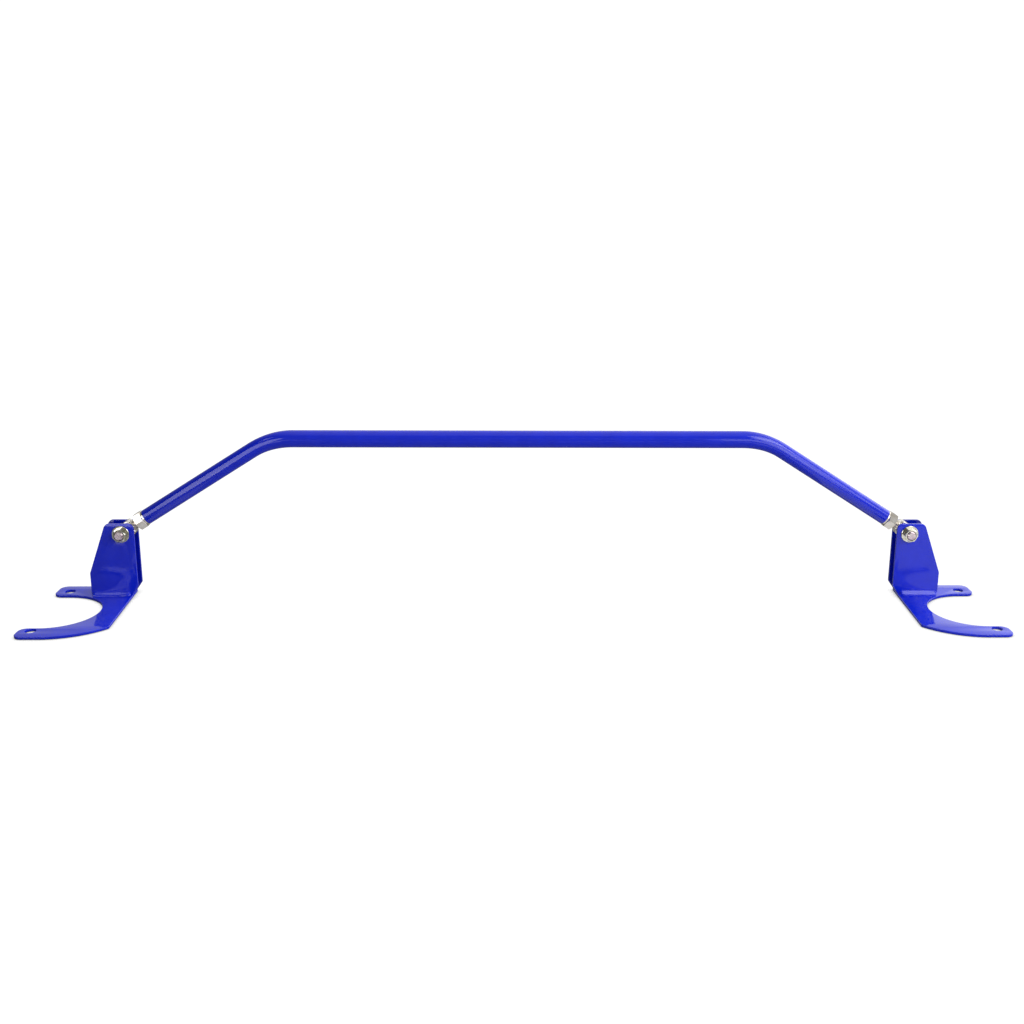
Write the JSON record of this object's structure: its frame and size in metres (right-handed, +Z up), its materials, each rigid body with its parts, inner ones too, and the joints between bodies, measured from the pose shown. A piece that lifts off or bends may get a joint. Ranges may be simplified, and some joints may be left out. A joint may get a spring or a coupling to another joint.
{
  "type": "strut tower brace",
  "caption": "Bent tubular brace with a threaded, jam-nutted eye at each end, bolted in a clevis that stands on a C-shaped strut-top plate with stud holes.",
  "frame": {"origin": "centre of the bounding box's base: midway between the brackets, level with the undersides of both base plates", "axes": "+X along the bar towards the right-hand bracket, +Y towards the object's rear, where the bar stands, +Z up from the strut tops"},
  "size_m": [1.087, 0.159, 0.1986],
  "materials": {
    "blue_powder_coat": "gloss blue powder coat over steel",
    "bright_zinc": "bright zinc plate",
    "yellow_zinc": "pale yellow chromated zinc plate"
  },
  "bodies": {
    "bar": {"bar_tube": "blue_powder_coat", "left_threaded_insert": "bright_zinc", "right_threaded_insert": "bright_zinc"},
    "left_jam_nut": {"left_jam_nut": "bright_zinc"},
    "left_eye": {"left_eye_end": "bright_zinc"},
    "left_bracket": {"left_base_plate": "blue_powder_coat", "left_front_cheek": "blue_powder_coat", "left_rear_cheek": "blue_powder_coat", "left_eye_bush": "bright_zinc", "left_pivot_bolt": "yellow_zinc", "left_pivot_nut": "yellow_zinc", "left_front_washer": "yellow_zinc", "left_rear_washer": "yellow_zinc"},
    "right_jam_nut": {"right_jam_nut": "bright_zinc"},
    "right_eye": {"right_eye_end": "bright_zinc"},
    "right_bracket": {"right_base_plate": "blue_powder_coat", "right_front_cheek": "blue_powder_coat", "right_rear_cheek": "blue_powder_coat", "right_eye_bush": "bright_zinc", "right_pivot_bolt": "yellow_zinc", "right_pivot_nut": "yellow_zinc", "right_front_washer": "yellow_zinc", "right_rear_washer": "yellow_zinc"}
  },
  "joints": [
    {"name": "left_jam_nut_spin", "type": "hinge", "parent": "bar", "child": "left_jam_nut", "pos_m": [-0.43783, 0.06, 0.09137], "axis": [-0.8445, 0, -0.5355], "continuous": true},
    {"name": "left_eye_thread", "type": "slide", "parent": "bar", "child": "left_eye", "axis": [-0.8445, 0, -0.5355], "range_m": [0, 0.012]},
    {"name": "left_bracket_pivot", "type": "hinge", "parent": "left_eye", "child": "left_bracket", "pos_m": [-0.4597, 0.06, 0.0775], "axis": [0, -1, 0], "range_deg": [-90, 50]},
    {"name": "right_jam_nut_spin", "type": "hinge", "parent": "bar", "child": "right_jam_nut", "pos_m": [0.43783, 0.06, 0.09137], "axis": [0.8445, 0, -0.5355], "continuous": true},
    {"name": "right_eye_thread", "type": "slide", "parent": "bar", "child": "right_eye", "axis": [0.8445, 0, -0.5355], "range_m": [0, 0.012]},
    {"name": "right_bracket_pivot", "type": "hinge", "parent": "right_eye", "child": "right_bracket", "pos_m": [0.4597, 0.06, 0.0775], "axis": [0, 1, 0], "range_deg": [-90, 50]}
  ]
}
